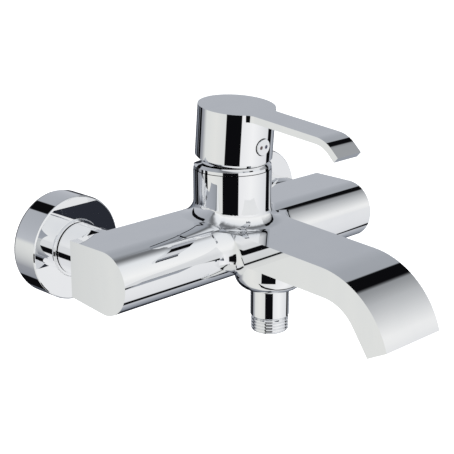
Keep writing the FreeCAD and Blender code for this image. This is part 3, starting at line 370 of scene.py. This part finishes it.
# How far polishing has rounded each piece's edges, in millimetres, and in how many steps
POLISHED_EDGES = {
    "body_casting": (0.8, 4),
    "turret_collar": (0.15, 3),
    "index_plug": (0.6, 4),
    "diverter_gland": (0.2, 3),
    "diverter_knob": (0.3, 3),
    "escutcheon_left": (0.2, 3),
    "union_nut_left": (0.25, 3),
    "escutcheon_right": (0.2, 3),
    "union_nut_right": (0.25, 3),
}
for node, (edge, segments) in POLISHED_EDGES.items():
    polished(node, edge * MM, segments)

# The check valve's spring gets a mesh of its own; how far the poppet's lift would shorten it is worked out
# but not applied.
coil = merged_copy("check_valve_spring", "check_valve_spring_coil")
spring = finished(softened(coil, 0), "check_valve_spring")
spring_low, spring_high = spring.bound_box[0], spring.bound_box[6]
joints = {joint["name"]: joint for joint in frame["record"]["behaviour"]["joints"]}
valve_lift = joints["check_valve_lift"]["range_m"][1]
1 - valve_lift / (spring_high[2] - spring_low[2])
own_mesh(spring)

# The index plug sits in a sunk ring that reads as a dark line.
RING_RADIUS = 5.05 * MM
RING_DEPTH = 4.4 * MM
HANDLE_EDGE = 0.5 * MM
plug = frame["nodes"]["index_plug"]
plug_face = max(plug.data.polygons, key=lambda face: face.area * -face.normal.y)
bpy.ops.mesh.primitive_cylinder_add(vertices=96, radius=RING_RADIUS, depth=RING_DEPTH)
ring_cutter = bpy.context.object
ring_cutter.rotation_mode = "QUATERNION"
ring_cutter.rotation_quaternion = plug_face.normal.to_track_quat("Z", "Y")
ring_cutter.location = sum((Vector(corner) for corner in plug.bound_box), Vector()) / 8
handle = combine(merged_copy("handle", "handle_polished"), ring_cutter, "DIFFERENCE")
finished(softened(handle, HANDLE_EDGE), "handle")

# G 1/2 threads, 14 turns to the inch, cut with a triangle wound round the axis
THREAD_PITCH = 1.814 * MM
THREAD_ROOT = 9.4 * MM
THREAD_EDGE = 0.1 * MM
THREAD_STEPS = 72
GROOVE_DEPTH = 1.5 * MM
GROOVE_WIDTH = 0.93 * THREAD_PITCH
TRIANGLE_HEIGHT, TRIANGLE_SIDE = 1.5, math.sqrt(3)
THREADS = {mount["name"]: Vector(mount["pos_m"]) for mount in frame["record"]["mounts"]
           if mount["name"].endswith("_thread")}

outlet_cutter = thread_cutter(5, -4.3 * MM, "outlet_cutter")
outlet_cutter.location = THREADS["shower_outlet_thread"]
threaded("shower_outlet", outlet_cutter)
for side, water in (("left", "hot"), ("right", "cold")):
    union_cutter = thread_cutter(10, -7.2 * MM, "union_cutter")
    union_cutter.rotation_euler = (-math.pi / 2, 0, 0)
    union_cutter.location = THREADS[water + "_inlet_thread"]
    threaded("eccentric_union_" + side, union_cutter)


# ---------------------------------------------------------------- studio

DEGREES = 180 / math.pi
GAP_SHADE = (0.004, 0.004, 0.005)
# The floor stands well below the object and runs far enough to fill a low view.
FLOOR_DROP, FLOOR_SIZE = 0.25, 200


def studio_world():
    """A pale studio, given by direction: a cool ceiling, bright sides, and dark gaps between the lamps."""
    world = bpy.data.worlds.new("studio")
    world.use_nodes = True
    scene.world = world
    tree = world.node_tree
    direction = make_node(tree, "ShaderNodeTexCoord", output="Generated")
    parts = tree.nodes.new("ShaderNodeSeparateXYZ")
    tree.links.new(direction.link, parts.inputs[0])
    x, y, z = (Socket(tree, parts.outputs[index]) for index in range(3))
    # Three angles in degrees: roll about the wall's X, turn about Z from the camera's side, wheel about Y
    roll = y.math("ARCTAN2", z) * DEGREES
    wheel = x.math("ARCTAN2", z) * DEGREES
    toward = math.radians(CAMERA_AZIMUTH)
    ahead = x * math.sin(toward) - y * math.cos(toward)
    across = x * math.cos(toward) + y * math.sin(toward)
    turn = across.math("ARCTAN2", ahead) * DEGREES
    turn_share = (turn + 180) * (1 / 360)
    roll_share = (roll + 180) * (1 / 360)
    overhead = make_node(tree, "ShaderNodeValToRGB", {"Fac": roll_share}, stops=[
        (0.000, (0.50, 0.52, 0.54)),
        (0.115, (0.30, 0.32, 0.35)),
        (0.185, (0.72, 0.73, 0.74)),
        (0.300, (1.00, 1.00, 0.99)),
        (0.420, (0.86, 0.88, 0.90)),
        (0.520, (0.38, 0.40, 0.43)),
        (0.590, (0.39, 0.41, 0.445)),
        (0.690, (0.48, 0.50, 0.54)),
        (0.850, (0.70, 0.72, 0.76)),
        (1.000, (0.50, 0.52, 0.54)),
    ])
    around = make_node(tree, "ShaderNodeValToRGB", {"Fac": turn_share}, stops=[
        (0.000, (0.02, 0.022, 0.03)),
        (0.045, (0.04, 0.045, 0.06)),
        (0.100, (0.22, 0.24, 0.28)),
        (0.195, (0.34, 0.35, 0.38)),
        (0.235, (0.80, 0.81, 0.79)),
        (0.330, (0.86, 0.86, 0.83)),
        (0.420, (0.80, 0.81, 0.79)),
        (0.560, (0.92, 0.92, 0.93)),
        (0.650, (1.00, 1.00, 1.00)),
        (0.810, (0.80, 0.81, 0.83)),
        (0.880, (0.45, 0.47, 0.51)),
        (0.945, (0.24, 0.26, 0.30)),
        (0.970, (0.02, 0.022, 0.03)),
        (1.000, (0.02, 0.022, 0.03)),
    ])
    low = z.step(0.1, -0.02)
    sky = make_node(tree, "ShaderNodeMix", {0: low, 6: overhead, 7: around}, 2, data_type="RGBA")
    # The ceiling's gap is crisp to the right, with a soft fall-off toward the room, and blurred to the left.
    crisp = x.step(0.675, 0.70)
    near_side = roll.step(-14, -4).math("MAXIMUM", roll.step(-88, -6) * 0.5)
    crisp_gap = near_side * (roll.step(14.2, 11.8) * crisp)
    ceiling_gap = crisp_gap + roll.between(-14, 6, 14) * (1 - crisp) * 0.75
    floor_gap = roll.between(-172, -160, 1.5) * z.step(-0.42, -0.47)
    # Upright gaps, which only upright faces show
    level = z.between(-0.41, -0.17, 0.015)
    front_gap = turn.between(-29, 17, 0.8) * level
    left_gap = turn.between(-131, -119, 0.8) * level
    right_gap = turn.between(114, 134, 1.0) * level
    # Gaps on the wall's side, which the wall covers' rims show
    behind = y.step(0.5, 0.6)
    upper_gap = wheel.between(-14, 12, 1.2) * behind
    lower_gap = wheel.step(152, 155).math("MAXIMUM", wheel.step(-169, -172)) * behind
    dark = ceiling_gap
    for gap in (floor_gap, front_gap, left_gap, right_gap, upper_gap, lower_gap):
        dark = dark.math("MAXIMUM", gap)
    colour = make_node(tree, "ShaderNodeMix", {0: dark, 6: sky, 7: GAP_SHADE}, 2, data_type="RGBA")
    background = tree.nodes["Background"]
    tree.links.new(colour.link, background.inputs["Color"])
    background.inputs["Strength"].default_value = 1.0


def floor():
    bpy.ops.mesh.primitive_plane_add(size=FLOOR_SIZE, location=(0, 0, cad_box[0].z - FLOOR_DROP))
    plane = bpy.context.object
    plane.name = "studio_floor"
    pale = Finish("pale_floor", (0.9, 0.9, 0.9), 0.7)
    pale.feed(Emission_Color=(1.0, 1.0, 1.0), Emission_Strength=0.75)
    plane.data.materials.append(pale.material)
    plane.visible_glossy = False


def lamp(name, at, size, power):
    """A soft square lamp that faces the object; chrome shows the studio, not the lamp."""
    data = bpy.data.lights.new(name, "AREA")
    data.size = size
    data.energy = power
    thing = bpy.data.objects.new(name, data)
    scene.collection.objects.link(thing)
    thing.location = at
    thing.rotation_mode = "QUATERNION"
    thing.rotation_quaternion = (Vector(at) - AIM).to_track_quat("Z", "Y")
    thing.visible_glossy = False


def camera():
    """A long lens, low and well to the left, level with its horizon."""
    azimuth, elevation = math.radians(CAMERA_AZIMUTH), math.radians(CAMERA_ELEVATION)
    back = Vector((math.sin(azimuth) * math.cos(elevation), -math.cos(azimuth) * math.cos(elevation),
                   math.sin(elevation)))
    data = bpy.data.cameras.new("camera")
    data.lens, data.sensor_width = CAMERA_LENS, 36.0
    thing = bpy.data.objects.new("camera", data)
    scene.collection.objects.link(thing)
    thing.location = AIM + back * CAMERA_DISTANCE
    thing.rotation_mode = "QUATERNION"
    thing.rotation_quaternion = back.to_track_quat("Z", "Y")
    scene.camera = thing


CAMERA_AZIMUTH, CAMERA_ELEVATION = -44.95, 17.35
CAMERA_DISTANCE, CAMERA_LENS = 0.71606, 100.48
AIM = Vector((-0.00751, -0.06943, 0.00844))

scene.view_settings.view_transform = "Standard"
studio_world()
floor()
lamp("key_lamp", at=(-0.9, -0.9, 1.2), size=1.0, power=14.0)
lamp("fill_lamp", at=(1.2, -0.6, 0.8), size=1.2, power=8.0)
camera()
